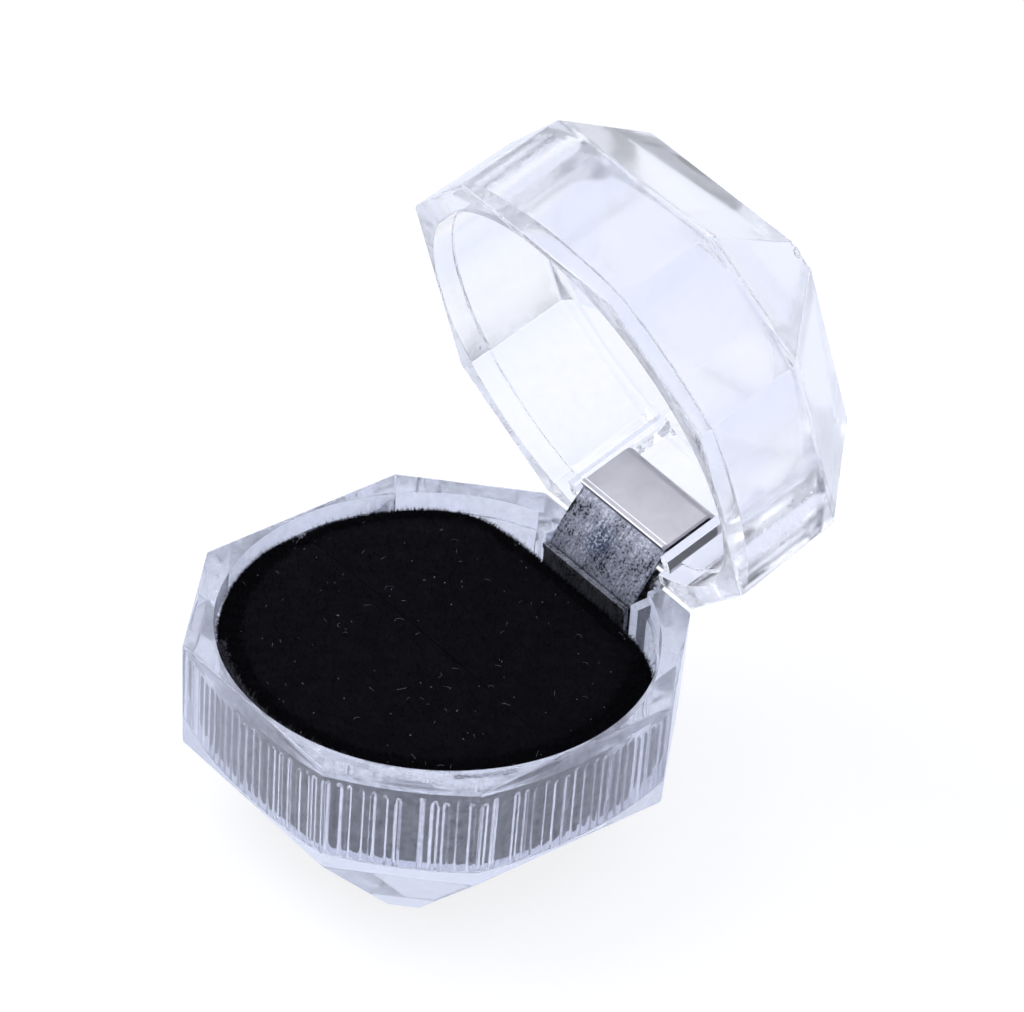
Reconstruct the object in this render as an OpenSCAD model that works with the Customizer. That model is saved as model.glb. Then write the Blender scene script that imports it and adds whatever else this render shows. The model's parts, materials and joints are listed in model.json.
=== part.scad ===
// Small clear display box for a ring: two faceted cups joined by a steel snap hinge,
// with a black foam and velvet pad in the lower cup. Sizes are in millimetres.
// The origin is the centre of the face that the box stands on, +Z is up, and the
// hinge is at +Y. The lid is drawn at its open stop.

/* [Cups] */
// Width of each cup across its flat sides
across = 40; // [36:0.5:60]
// Length cut from each side by a corner facet
corner_cut = 9.6; // [8.8:0.1:11]
// Height of one cup, from its flat table to its rim
cup_h = 19.2; // [18:0.1:30]
// Height of the upright wall under the rim
wall_h = 10.8; // [9:0.1:13]
// How far a wall leans in over its height
draft = 0.36; // [0:0.02:0.8]
// Width of the flat table that ends each cup
table_w = 23.2; // [16:0.2:28]
// Length cut from each side of the table by its corner facet
table_cut = 1.8; // [0.6:0.1:4]
// Least thickness of the wall below the mouth, at the middle of a flat side
wall_t = 0.8; // [0.7:0.05:1.2]
// Depth of the round hollow in the base
base_hollow = 11; // [10:0.1:14]
// Depth of the round hollow in the lid
lid_hollow = 11.4; // [10:0.1:14]
// Radius in the corner between a hollow's wall and its floor
hollow_r = 0.6; // [0.4:0.1:2]
// How much further out the wall of a hollow's mouth stands
mouth_step = 0.35; // [0.1:0.05:0.4]
// Depth of the mouth, from the rim to the ledge under it
mouth_depth = 2; // [1.2:0.1:2.4]
// Gap left between the two rims when the lid is shut
rim_gap = 0.16; // [0.1:0.02:0.4]

/* [Grip ribs in the base] */
// Number of upright ribs round the hollow
rib_count = 112; // [60:1:130]
// How far a rib stands out of the grooves beside it
rib_h = 0.25; // [0.15:0.05:0.4]
// Distance from the rim down to the tops of the ribs
rib_drop = 2.7; // [2.5:0.1:4]
// Width of the small ledges above and below the ribbed band
rib_ledge = 0.1; // [0.05:0.05:0.2]

/* [Pad] */
// Distance from the rim down to the edge of the velvet
pad_drop = 1; // [0.6:0.1:3]
// Rise of the velvet from its edge to its middle
pad_crown = 0.5; // [0:0.1:1]
// Thickness of the velvet cap at its edge
velvet_t = 0.9; // [0.8:0.1:1.4]
// How far the velvet's upper edge is drawn in
velvet_tuck = 0.6; // [0.3:0.1:0.8]
// Gap between the pad and the wall or the ribs round it
pad_gap = 0.1; // [0.05:0.05:0.5]
// Width of the slit across the velvet that takes a ring
slit_w = 0.3; // [0.2:0.05:0.8]
// Distance of the slit in front of the middle of the pad
slit_y = 1.2; // [0:0.1:3]
// Thickness of velvet left under the slit
slit_floor = 0.3; // [0.2:0.05:0.6]
// Gap between the pad's straight edge and the hinge leaf
pad_hinge_gap = 1.5; // [0.6:0.1:3]

/* [Hinge] */
// Width of the hinge along its pin
hinge_w = 11.6; // [9:0.2:14]
// Angle between the rims at the open stop
open_angle = 72; // [50:1:90]
// Thickness of the leaf steel
leaf_t = 0.4; // [0.3:0.05:0.5]
// Depth of each leaf below the pin
leaf_depth = 7.2; // [6:0.1:8]
// Distance from the pin's plane to the back of a leaf
leaf_seat = 0.75; // [0.7:0.05:0.9]
// Distance from the pin down to the lip of a leaf
lip_depth = 1.3; // [0.9:0.1:1.8]
// Width of the flat bead along the front of a lip
bead_w = 0.5; // [0.2:0.05:0.8]
// How far the bead stands out of the front plate
bead_t = 0.15; // [0.05:0.05:0.3]
// Radius of the hinge pin
pin_r = 0.5; // [0.35:0.05:0.6]
// Radial running clearance round the pin
pin_clear = 0.03; // [0.01:0.01:0.06]
// Thickness of a knuckle round the pin
knuckle_t = 0.42; // [0.3:0.02:0.5]
// Axial gap between two knuckles
knuckle_gap = 0.12; // [0.06:0.02:0.3]
// Number of knuckles on both leaves together
knuckle_count = 5; // [3:2:7]
// Thickness of the bowed spring strip
spring_t = 0.3; // [0.2:0.05:0.35]
// Length of the spring strip from lip to lip
spring_len = 6.3; // [5.6:0.1:6.6]
// Rise of the spring strip's bow
spring_bow = 0.25; // [0.15:0.05:0.5]
// Distance from the pin to the top of the bow
spring_reach = 1.8; // [1.7:0.05:2.2]
// Gap between the spring's swinging end and a leaf's front plate
spring_clear = 0.15; // [0.1:0.01:0.3]
// Gap on each side of the hinge in its recess
side_gap = 0.3; // [0.2:0.05:0.5]
// Thickness of the cheek on each side of the hinge recess
cheek_t = 1; // [0.6:0.1:1.4]
// Radius of a moulded stake that holds a leaf
stake_r = 0.7; // [0.5:0.05:0.9]
// Thickness of a stake's flattened head
stake_head_t = 0.35; // [0.2:0.05:0.4]

/* [Hidden] */
$fn = 96;

// Overshoot of a cutter, so that it leaves no skin
cut = 1;

// Hollow and hinge places, all worked out from the sizes above
bore_r = across / 2 - wall_t;
mouth_r = bore_r + mouth_step;
crest_r = bore_r - rib_ledge - rib_h;
pin_y = across / 2;
pin_z = cup_h + rim_gap / 2;
knuckle_r = pin_r + pin_clear + knuckle_t;
knuckle_pitch = (hinge_w + knuckle_gap) / knuckle_count;

// The spring's end is furthest from the pin's plane at the open stop
half_turn = open_angle / 2;
end_reach = spring_reach - spring_bow;
front_plate = end_reach * cos(half_turn) + spring_len / 2 * sin(half_turn) + spring_clear;
recess_w = hinge_w + 2 * side_gap;
recess_depth = leaf_depth + side_gap;
notch_depth = knuckle_r + side_gap;
stake_x = hinge_w * 0.3;
stake_depth = (leaf_depth - leaf_t + spring_len / 2) / 2;
stake_head_r = stake_r * 1.6;

// Pad places: the cut edge clears the hinge leaf. Round the rest, the foam clears
// the ribs, and the velvet, which lies above them, clears the wall of the mouth
pad_r = crest_r - pad_gap;
velvet_r = mouth_r - pad_gap;
foam_foot_r = pad_r - rib_ledge - hollow_r;
pad_chord = pin_y - front_plate - leaf_t - pad_hinge_gap;
velvet_z = cup_h - pad_drop - velvet_t;
foam_z = cup_h - base_hollow;

// Corners of a square of half-width h with its corners cut by c, at height z
function cut_square(h, c, z) = [
    [h - c, -h, z], [h, c - h, z], [h, h - c, z], [h - c, h, z],
    [c - h, h, z], [-h, h - c, z], [-h, c - h, z], [c - h, -h, z]
];

// Four-sided faces that join ring k of eight points to the ring after it
function band(k) = [for (i = [0:7])
    [8 * k + 8 + i, 8 * k + 8 + (i + 1) % 8, 8 * k + (i + 1) % 8, 8 * k + i]];

// Faceted outside of a cup, rim at z = 0 and table at the bottom
module cup_outside() {
    foot_h = across / 2 - draft;
    foot_cut = corner_cut - draft * (2 - sqrt(2));
    rings = concat(cut_square(table_w / 2, table_cut, -cup_h),
                   cut_square(foot_h, foot_cut, -wall_h),
                   cut_square(across / 2, corner_cut, 0));
    table = [for (i = [0:7]) i];
    rim = [for (i = [0:7]) 23 - i];
    faces = concat([table], band(0), band(1), [rim]);
    polyhedron(rings, faces);
}

// Round hollow with a rounded floor corner, open at its top
module round_hollow(r, depth, top) {
    corner = [for (a = [0:15:90])
        [r - hollow_r + hollow_r * sin(a), hollow_r - depth - hollow_r * cos(a)]];
    rotate_extrude()
        polygon(concat([[0, -depth]], corner, [[r, top], [0, top]]));
}

// Wider mouth of a hollow, from the rim down to its ledge
module mouth() {
    translate([0, 0, -mouth_depth])
        cylinder(h = mouth_depth + cut, r = mouth_r);
}

// Hollow of the base: plain at the rim, ribbed below
module ribbed_hollow(depth) {
    pitch = 360 / rib_count;
    groove_r = bore_r - rib_ledge;
    one_rib = [[0, groove_r], [0.5, groove_r], [0.6, crest_r], [0.9, crest_r]];
    rib_points = [for (i = [0:rib_count - 1]) for (p = one_rib)
        [p[1] * cos((i + p[0]) * pitch), p[1] * sin((i + p[0]) * pitch)]];
    round_hollow(crest_r - rib_ledge, depth, -rib_drop + cut / 2);
    translate([0, 0, hollow_r - depth])
        linear_extrude(depth - hollow_r - rib_drop)
            polygon(rib_points);
    translate([0, 0, -rib_drop])
        cylinder(h = rib_drop + cut, r = bore_r);
}

// Recess in the rear wall for a leaf, and the notch for the knuckles above it
module hinge_cutter() {
    seat_y = pin_y - leaf_seat;
    translate([-recess_w / 2, pin_y - front_plate - leaf_t, -recess_depth])
        cube([recess_w, front_plate + leaf_t - leaf_seat, recess_depth + cut]);
    translate([-recess_w / 2, seat_y - cut, -notch_depth])
        cube([recess_w, leaf_seat + 2 * cut, notch_depth + cut]);
}

// Upright cheeks that stand beside the hinge recess, from the wall inwards
module hinge_cheeks(depth) {
    for (side = [-1, 1])
        translate([side * (recess_w + cheek_t) / 2, 0, 0])
            intersection() {
                translate([-cheek_t / 2, pin_y - front_plate, -depth])
                    cube([cheek_t, front_plate, depth - lip_depth / 2]);
                translate([-side * (recess_w + cheek_t) / 2, 0, -depth])
                    cylinder(h = depth, r = bore_r + wall_t / 4);
            }
}

// Stakes that pass through a leaf's back plate, with flattened heads
module stakes() {
    seat_y = pin_y - leaf_seat;
    for (side = [-1, 1])
        translate([side * stake_x, seat_y, rim_gap / 2 - stake_depth])
            rotate([90, 0, 0]) {
                translate([0, 0, -leaf_seat / 4])
                    cylinder(h = leaf_seat / 4 + leaf_t + stake_head_t, r = stake_r);
                translate([0, 0, leaf_t])
                    cylinder(h = stake_head_t, r = stake_head_r);
            }
}

// One clear cup, rim at z = 0
module cup(hollow, ribbed) {
    difference() {
        union() {
            difference() {
                cup_outside();
                mouth();
                if (ribbed) ribbed_hollow(hollow);
                else round_hollow(bore_r, hollow, cut);
            }
            hinge_cheeks(hollow + hollow_r / 2);
        }
        hinge_cutter();
    }
    stakes();
}

// Puts a lid piece, drawn like its base twin, over the base and swings it open
module as_lid() {
    translate([0, pin_y, pin_z])
        rotate([-open_angle, 0, 0])
            translate([0, -pin_y, rim_gap / 2])
                mirror([0, 0, 1])
                    children();
}

module base_shell() {
    color([0.86, 0.87, 0.94, 0.45])
        translate([0, 0, cup_h])
            cup(base_hollow, true);
}

module lid_shell() {
    color([0.9, 0.92, 0.98, 0.45])
        as_lid()
            cup(lid_hollow, false);
}

// Distance from the middle to the pad's outline: a circle cut by the straight
// edge, with the corner between them softened
function pad_edge(a, r, chord) =
    let (line = sin(a) > 0.05 ? chord / sin(a) : 20 * r, p = 14)
    pow(pow(r, -p) + pow(line, -p), -1 / p);

// Plain foam block under the velvet
module pad_foam() {
    color([0.1, 0.1, 0.12])
        translate([0, 0, foam_z])
            difference() {
                cylinder(h = velvet_z - foam_z, r1 = foam_foot_r, r2 = pad_r);
                translate([-across / 2, pad_chord, -cut])
                    cube([across, across, base_hollow + 2 * cut]);
            }
}

// Point of the velvet at angle a: its outline moved in by inset, then drawn
// towards the middle to a share q of its distance
function velvet_point(a, inset, q, z) =
    let (e = (pad_edge(a, velvet_r, pad_chord) - inset) * q)
    [e * cos(a), e * sin(a), z];

// Velvet cap before its slit is cut: drawn-in rounded edge and a low crown,
// built of rings of points
module velvet_blank() {
    steps = 60;
    turns = [for (t = [0:22.5:90])
        [velvet_tuck * (1 - cos(t)), velvet_t - velvet_tuck * (1 - sin(t))]];
    crown = [for (q = [0.85, 0.65, 0.4, 0.2]) [q, velvet_t + pad_crown * (1 - q * q)]];
    rings = concat(
        [for (r = concat([[0.25, 0]], turns))
            [for (i = [0:steps - 1]) velvet_point(i * 360 / steps, r[0], 1, r[1])]],
        [for (r = crown)
            [for (i = [0:steps - 1]) velvet_point(i * 360 / steps, velvet_tuck, r[0], r[1])]]);
    points = concat([for (r = rings) each r], [[0, 0, 0], [0, 0, velvet_t + pad_crown]]);
    last = len(rings) - 1;
    under = len(points) - 2;
    over = len(points) - 1;
    faces = concat(
        [for (i = [0:steps - 1]) [under, i, (i + 1) % steps]],
        [for (k = [0:last - 1]) for (i = [0:steps - 1]) let (j = (i + 1) % steps)
            each [[k * steps + i, (k + 1) * steps + i, k * steps + j],
                  [k * steps + j, (k + 1) * steps + i, (k + 1) * steps + j]]],
        [for (i = [0:steps - 1]) [over, last * steps + (i + 1) % steps, last * steps + i]]);
    polyhedron(points, faces);
}

module velvet_cap() {
    color([0.05, 0.05, 0.06])
        translate([0, 0, velvet_z])
            difference() {
                velvet_blank();
                translate([-across / 2, -slit_y - slit_w / 2, slit_floor])
                    cube([across, slit_w, velvet_t + pad_crown]);
            }
}

// Side view of a leaf, folded from one strip: front plate with a bead along its
// lip, web and back plate. First number: distance in from the pin's plane.
// Second: depth below the pin.
function leaf_outline() = [
    [front_plate, lip_depth], [front_plate + leaf_t + bead_t, lip_depth],
    [front_plate + leaf_t + bead_t, lip_depth + bead_w],
    [front_plate + leaf_t, lip_depth + bead_w + bead_t], [front_plate + leaf_t, leaf_depth],
    [leaf_seat, leaf_depth], [leaf_seat, notch_depth], [leaf_seat + leaf_t, notch_depth],
    [leaf_seat + leaf_t, leaf_depth - leaf_t], [front_plate, leaf_depth - leaf_t]
];

// Lays a drawing of (distance in, depth) across the hinge, from x1 to x2, about the pin
module across_hinge(x1, x2) {
    translate([x1, 0, 0])
        rotate([90, 0, 90])
            linear_extrude(x2 - x1)
                rotate(180)
                    children();
}

// One leaf about the pin, hanging down into its cup. It has the knuckles from
// number first, then every second one
module leaf(first) {
    difference() {
        union() {
            across_hinge(-hinge_w / 2, hinge_w / 2)
                polygon(leaf_outline());
            for (i = [first:2:knuckle_count - 1]) {
                x1 = i * knuckle_pitch - hinge_w / 2;
                x2 = x1 + knuckle_pitch - knuckle_gap;
                translate([x1, 0, 0])
                    rotate([0, 90, 0])
                        cylinder(h = x2 - x1, r = knuckle_r);
                across_hinge(x1, x2)
                    polygon([[leaf_seat, 0], [leaf_seat + leaf_t / 2, 0], [leaf_seat + leaf_t, leaf_t / 2],
                             [leaf_seat + leaf_t, leaf_depth - leaf_t], [leaf_seat, leaf_depth - leaf_t]]);
            }
        }
        rotate([0, 90, 0])
            cylinder(h = 2 * hinge_w, r = pin_r + pin_clear, center = true);
        for (side = [-1, 1])
            translate([side * stake_x, -leaf_seat + cut / 4, -stake_depth])
                rotate([90, 0, 0])
                    cylinder(h = leaf_t + cut / 2, r = stake_r);
    }
}

module hinge_base_leaf() {
    color([0.62, 0.63, 0.66])
        translate([0, pin_y, pin_z])
            leaf(0);
}

module hinge_lid_leaf() {
    color([0.78, 0.78, 0.8])
        translate([0, pin_y, pin_z])
            rotate([-open_angle, 0, 0])
                mirror([0, 0, 1])
                    leaf(1);
}

// Bowed strip that spans the two leaves, turned half as far as the lid
module hinge_spring() {
    bow_r = (pow(spring_len / 2, 2) + pow(spring_bow, 2)) / (2 * spring_bow);
    half_arc = asin(spring_len / 2 / bow_r);
    arc_steps = 12;
    angles = [for (i = [0:arc_steps]) -half_arc + 2 * half_arc * i / arc_steps];
    outer = [for (a = angles) [spring_reach - bow_r + bow_r * cos(a), bow_r * sin(a)]];
    inner = [for (i = [arc_steps:-1:0]) let (r = bow_r - spring_t)
        [spring_reach - bow_r + r * cos(angles[i]), r * sin(angles[i])]];
    color([0.5, 0.52, 0.56])
        translate([0, pin_y, pin_z])
            rotate([-half_turn, 0, 0])
                across_hinge(-hinge_w / 2, hinge_w / 2)
                    polygon(concat(outer, inner));
}

module hinge_pin() {
    color([0.7, 0.7, 0.72])
        translate([0, pin_y, pin_z])
            rotate([0, 90, 0])
                cylinder(h = hinge_w + side_gap, r = pin_r, center = true);
}

base_shell();
lid_shell();
pad_foam();
velvet_cap();
hinge_base_leaf();
hinge_lid_leaf();
hinge_spring();
hinge_pin();
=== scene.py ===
# %% [markdown]
# # A clear box that shows a ring
# Two faceted cups of clear plastic meet at a steel snap hinge, and a black velvet pad fills
# the lower one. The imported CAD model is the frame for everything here: each new piece is
# worked out where the frame says, so nothing has to be fitted afterwards.

# %% Load the frame
import json
import math

import bpy
import numpy as np
from mathutils import Matrix, Vector


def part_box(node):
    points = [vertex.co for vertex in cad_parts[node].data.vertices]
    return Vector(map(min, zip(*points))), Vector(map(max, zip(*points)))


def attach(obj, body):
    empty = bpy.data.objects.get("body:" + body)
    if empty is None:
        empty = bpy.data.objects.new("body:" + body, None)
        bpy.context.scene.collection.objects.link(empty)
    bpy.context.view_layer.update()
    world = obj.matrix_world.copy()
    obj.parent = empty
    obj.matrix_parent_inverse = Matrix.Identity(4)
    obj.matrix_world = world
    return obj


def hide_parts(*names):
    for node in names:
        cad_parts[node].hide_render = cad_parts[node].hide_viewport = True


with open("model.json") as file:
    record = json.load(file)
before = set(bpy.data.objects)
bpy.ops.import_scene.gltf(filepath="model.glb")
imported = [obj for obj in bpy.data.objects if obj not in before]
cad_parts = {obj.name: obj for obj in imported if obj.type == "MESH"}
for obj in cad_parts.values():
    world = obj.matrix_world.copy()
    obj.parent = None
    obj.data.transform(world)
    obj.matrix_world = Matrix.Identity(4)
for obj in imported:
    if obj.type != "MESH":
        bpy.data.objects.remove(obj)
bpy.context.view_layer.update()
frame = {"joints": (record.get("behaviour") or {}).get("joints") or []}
MM = 0.001

# %% [markdown]
# ## Sizes
# Lengths are in millimetres until they go into a mesh. What the frame can tell is read from
# it: the width of a cup, the pin's place, the pad's radius. The rest repeats the CAD sizes.

# %% Sizes of the cups
base_low, base_high = [np.array(corner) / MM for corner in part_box("base_shell")]
across = base_high[0] - base_low[0]
cup_h = base_high[2]
corner_cut, wall_h, draft = 9.6, 10.8, 0.36
table_w, table_cut, wall_t = 23.2, 1.8, 0.8
bore_r = across / 2 - wall_t
base_hollow, lid_hollow, hollow_r = 11.0, 11.4, 0.6
mouth_step, mouth_depth = 0.35, 2.0
print(f"cups {across:.1f} mm across and {cup_h:.1f} mm high, bore radius {bore_r:.1f} mm")

# %% Sizes of the hinge and the pad
hinge = next(joint for joint in frame["joints"] if joint["name"] == "lid_hinge")
pin_y, pin_z = hinge["pos_m"][1] / MM, hinge["pos_m"][2] / MM
open_angle = math.radians(hinge["range_deg"][1])
rim_gap = 2 * (pin_z - cup_h)
leaf_low, leaf_high = [np.array(corner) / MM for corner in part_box("hinge_base_leaf")]
hinge_w = leaf_high[0] - leaf_low[0]
leaf_depth = pin_z - leaf_low[2]
leaf_t, leaf_seat, lip_depth, bead_w, bead_t = 0.4, 0.75, 1.3, 0.5, 0.15
front_plate = pin_y - leaf_low[1] - leaf_t - bead_t
velvet_low, velvet_high = [np.array(corner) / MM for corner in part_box("velvet_cap")]
foam_low, foam_high = [np.array(corner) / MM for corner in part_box("pad_foam")]
velvet_r, foam_r, pad_chord, slit_y = velvet_high[0], foam_high[0], velvet_high[1], -1.2
print(f"pin at y {pin_y:.1f}, z {pin_z:.2f}; leaf {hinge_w:.1f} wide; velvet radius {velvet_r:.2f}")

# %% [markdown]
# ## The camera
# The photograph was taken from in front and to the right, with a long lens. Its direction,
# roll and distance were found by matching the corners of both cups, so the picture lines up
# with the photograph without any shift.

# %% Camera
camera_azimuth, camera_elevation, camera_roll = map(math.radians, (49.844, 37.277, 4.138))
camera_distance = 712.39
camera_target = np.array([-10.345, 16.160, cup_h])
back = np.array([
    math.sin(camera_azimuth) * math.cos(camera_elevation),
    -math.cos(camera_azimuth) * math.cos(camera_elevation),
    math.sin(camera_elevation),
])
level = np.array([math.cos(camera_azimuth), math.sin(camera_azimuth), 0.0])
upright = np.cross(back, level)
right = math.cos(camera_roll) * level + math.sin(camera_roll) * upright
up = math.cos(camera_roll) * upright - math.sin(camera_roll) * level
place = (camera_target + back * camera_distance) * MM
lens = bpy.data.cameras.new("camera")
lens.sensor_fit, lens.sensor_width, lens.lens = "HORIZONTAL", 36.0, 281.25
lens.clip_start, lens.clip_end = 0.01, 10.0
camera = bpy.data.objects.new("camera", lens)
camera_rows = [[right[i], up[i], back[i], place[i]] for i in range(3)]
camera.matrix_world = Matrix(camera_rows + [[0, 0, 0, 1]])
scene = bpy.context.scene
scene.collection.objects.link(camera)
scene.camera = camera
print("camera stands", round(float(np.linalg.norm(place)), 3), "m from the box")

# %% [markdown]
# ## Materials as small graphs
# A colour is written as it looks on a screen, in sRGB hex, and turned to the linear light
# that a renderer works in. One helper adds a node with its settings and its links, so each
# material below reads from top to bottom.

# %% Colour and node helpers
def linear(hex_colour):
    """sRGB to linear light: ((c + 0.055) / 1.055) to the power 2.4, or c / 12.92 where c is
    dark."""
    srgb = np.array([int(hex_colour[i:i + 2], 16) for i in (1, 3, 5)]) / 255
    light = np.where(srgb > 0.04045, ((srgb + 0.055) / 1.055) ** 2.4, srgb / 12.92)
    return (*light.tolist(), 1.0)


def node(tree, kind, inputs=None, **settings):
    """Adds the node ShaderNode + kind. inputs gives each socket a value, or an output socket to
    link it to. A socket is named or numbered: in Map Range 1 and 2 are the range that comes in
    and 3 and 4 the one that goes out, and in Mix 0 is the share and 6 and 7 are the colours."""
    made = tree.nodes.new("ShaderNode" + kind)
    for name, value in settings.items():
        setattr(made, name, value)
    for name, value in (inputs or {}).items():
        if isinstance(value, bpy.types.NodeSocket):
            tree.links.new(value, made.inputs[name])
        else:
            made.inputs[name].default_value = value
    return made


def blank_material(name):
    """A material with an empty graph."""
    material = bpy.data.materials.new(name)
    material.use_nodes = True
    material.node_tree.nodes.clear()
    return material, material.node_tree


# %% [markdown]
# ## Clear polystyrene
# The cups are crystal polystyrene, injection moulded: a bright, slightly lavender plastic
# that bends light like glass. Moulding leaves faint flow waves, and handling leaves a little
# haze, so a small share of the surface scatters light and the rest lets it through. The base,
# which is slid over counters and drawers, is scuffed more than the lid. Its tint is darker than
# the lid's too: that is painted shade, for the dark pad inside it and the floor below. At the
# two corners that lie left and right in the view it scatters more light still: painted light,
# which makes the ribs there lighter.

# %% Clear plastic material
# This direction is the camera's level direction, so the corners that it finds lie left and right in
# the view; their extra haze is painted light.
side_light_way, side_light_from, side_light_full = (0.64, 0.76, 0.0), 12, 20


def clear_plastic(name, haze, dull_hex, clear_hex, wave_mm=6, side_light=0.0, roughness=0.06):
    """A see-through moulded plastic. haze is the share that scatters light. A further share, the
    side light, is added at two opposite corners, where abs(0.64 x + 0.76 y) goes from 12 to 20 mm:
    the corners left and right in the view, made lighter there as painted light."""
    material, tree = blank_material(name)
    place = node(tree, "TexCoord").outputs["Object"]
    waves = node(tree, "TexNoise", {
        "Vector": place, "Scale": 1 / (wave_mm * MM), "Detail": 2.0,
    })
    tint = node(tree, "Mix", {0: waves.outputs["Fac"], 6: linear(dull_hex), 7: linear(clear_hex)},
                data_type="RGBA")
    scuffs = node(tree, "TexNoise", {
        "Vector": place, "Scale": 1 / (0.9 * MM), "Detail": 4.0, "Roughness": 0.7,
    })
    clear = node(tree, "MapRange", {
        "Value": scuffs.outputs["Fac"], 1: 0.35, 2: 0.7, 3: 1 - haze * 0.5, 4: 1 - haze * 1.5,
    })
    # Extra haze at the corners left and right in the view: painted light.
    corner = node(tree, "VectorMath", {0: place, 1: side_light_way}, operation="DOT_PRODUCT")
    corner = node(tree, "Math", {0: corner.outputs["Value"]}, operation="ABSOLUTE")
    wear_and_painted_light = node(tree, "MapRange", {
        "Value": corner.outputs[0], 1: side_light_from * MM, 2: side_light_full * MM, 4: side_light,
    })
    clear = node(tree, "Math", {0: clear.outputs[0], 1: wear_and_painted_light.outputs[0]}, operation="SUBTRACT")
    bump = node(tree, "Bump", {
        "Height": waves.outputs["Fac"], "Strength": 0.06, "Distance": 0.3 * MM,
    })
    surface = node(tree, "BsdfPrincipled", {
        "Base Color": tint.outputs[2], "IOR": 1.49, "Roughness": roughness,
        "Transmission Weight": clear.outputs[0], "Normal": bump.outputs["Normal"],
    })
    node(tree, "OutputMaterial", {"Surface": surface.outputs["BSDF"]})
    return material


# The base's tints are darker than the lid's: painted shade for the dark pad inside it and the floor
# below. Its larger haze is scuffing.
base_plastic = clear_plastic("clear_polystyrene_scuffed_and_shaded", 0.12, "#e7eaf6", "#f2f4fc", side_light=0.12)
lid_plastic = clear_plastic("clear_polystyrene", 0.03, "#fafbff", "#fdfdff", roughness=0.12)
print("made", base_plastic.name, "and", lid_plastic.name)

# %% [markdown]
# ## Solids from rings
# A moulding is a stack of closed rings: quads join each ring to the next, and a flat polygon
# closes each end. The rings are computed with numpy as one array of points.

# %% Solid and boolean helpers
def skin_rings(name, rings):
    """Solid through rings[k, i], point i of ring k, each ring turning left seen from the last."""
    count, size = rings.shape[:2]
    index = np.arange(count * size).reshape(count, size)
    onward = np.roll(index, -1, axis=1)
    quads = np.stack([index[:-1], onward[:-1], onward[1:], index[1:]], axis=-1).reshape(-1, 4)
    faces = quads.tolist() + [index[0][::-1].tolist(), index[-1].tolist()]
    mesh = bpy.data.meshes.new(name)
    mesh.from_pydata((rings.reshape(-1, 3) * MM).tolist(), [], faces)
    solid = bpy.data.objects.new(name, mesh)
    scene.collection.objects.link(solid)
    return solid


def settle(solid):
    """Puts what the modifiers make into the mesh and drops the modifiers."""
    graph = bpy.context.evaluated_depsgraph_get()
    mesh = bpy.data.meshes.new_from_object(solid.evaluated_get(graph))
    solid.modifiers.clear()
    solid.data = mesh
    return solid


def combine(solid, tool, operation):
    """Joins the tool to the solid, or cuts it away, and removes the tool."""
    modifier = solid.modifiers.new("combine", "BOOLEAN")
    modifier.operation, modifier.object, modifier.solver = operation, tool, "EXACT"
    settle(solid)
    bpy.data.objects.remove(tool)
    return solid


def block(name, low, high):
    """A box from its low corner to its high corner, for cutting or joining."""
    (x1, y1, z1), (x2, y2, z2) = low, high
    outline = np.array([[x1, y1], [x2, y1], [x2, y2], [x1, y2]])
    rings = [np.column_stack([outline, np.full(4, z)]) for z in (z1, z2)]
    return skin_rings(name, np.array(rings))


# %% [markdown]
# ## The outside of a cup
# Seen from above, a cup is a square with its corners cut off. Its eight sides stand at a
# known distance from the middle, so each corner's rounding is a small arc about the point
# that lies that much further in from both sides. The outline then shrinks down the wall and
# the sloping facets to the flat table, and the turns between them are rounded the same way.

# %% Faceted outside
def cut_square(half, cut, z, radius, steps=4):
    """Ring of a square with cut corners. The arc at corner k is centred where the lines of sides
    k and k + 1, moved in by the radius, cross."""
    turn = np.arange(8) * math.pi / 4
    reach = np.where(np.arange(8) % 2 == 0, half, (2 * half - cut) / math.sqrt(2)) - radius
    next_turn, next_reach = np.roll(turn, -1), np.roll(reach, -1)
    across_gap = math.sin(math.pi / 4)
    centre_x = (reach * np.sin(next_turn) - next_reach * np.sin(turn)) / across_gap
    centre_y = (next_reach * np.cos(turn) - reach * np.cos(next_turn)) / across_gap
    sweep = turn[:, None] + np.linspace(0, math.pi / 4, steps)
    x = centre_x[:, None] + radius * np.cos(sweep)
    y = centre_y[:, None] + radius * np.sin(sweep)
    return np.stack([x.ravel(), y.ravel(), np.full(x.size, z)], axis=1)


def soften(corners, reach, steps=4):
    """Path through corners whose inner ones are rounded: near each, a point runs along the curve
    a(1-t)^2 + 2ct(1-t) + bt^2, where a and b lie reach before and after the corner c."""
    before, after = corners[:-2] - corners[1:-1], corners[2:] - corners[1:-1]
    start = corners[1:-1] + before * reach / np.linalg.norm(before, axis=1, keepdims=True)
    end = corners[1:-1] + after * reach / np.linalg.norm(after, axis=1, keepdims=True)
    t = np.linspace(0, 1, steps)[None, :, None]
    curve = start[:, None] * (1 - t) ** 2 + 2 * corners[1:-1, None] * t * (1 - t)
    curve = curve + end[:, None] * t ** 2
    return np.vstack([corners[:1], curve.reshape(-1, corners.shape[1]), corners[-1:]])


def faceted_outside(name, edge_radius=0.3):
    """Outside of a cup, rim at z = 0. Each row of the path is (half-width, corner cut, z)."""
    foot_cut = corner_cut - draft * (2 - math.sqrt(2))
    rim_half, rim_cut = across / 2, corner_cut
    path = soften(np.array([
        [table_w / 2 - 3, table_cut, -cup_h], [table_w / 2, table_cut, -cup_h],
        [across / 2 - draft, foot_cut, -wall_h],
        [rim_half, rim_cut, 0.0], [rim_half - 1, rim_cut, 0.0],
    ]), edge_radius)
    rings = np.array([cut_square(half, cut, z, edge_radius) for half, cut, z in path])
    return skin_rings(name, rings)


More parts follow.
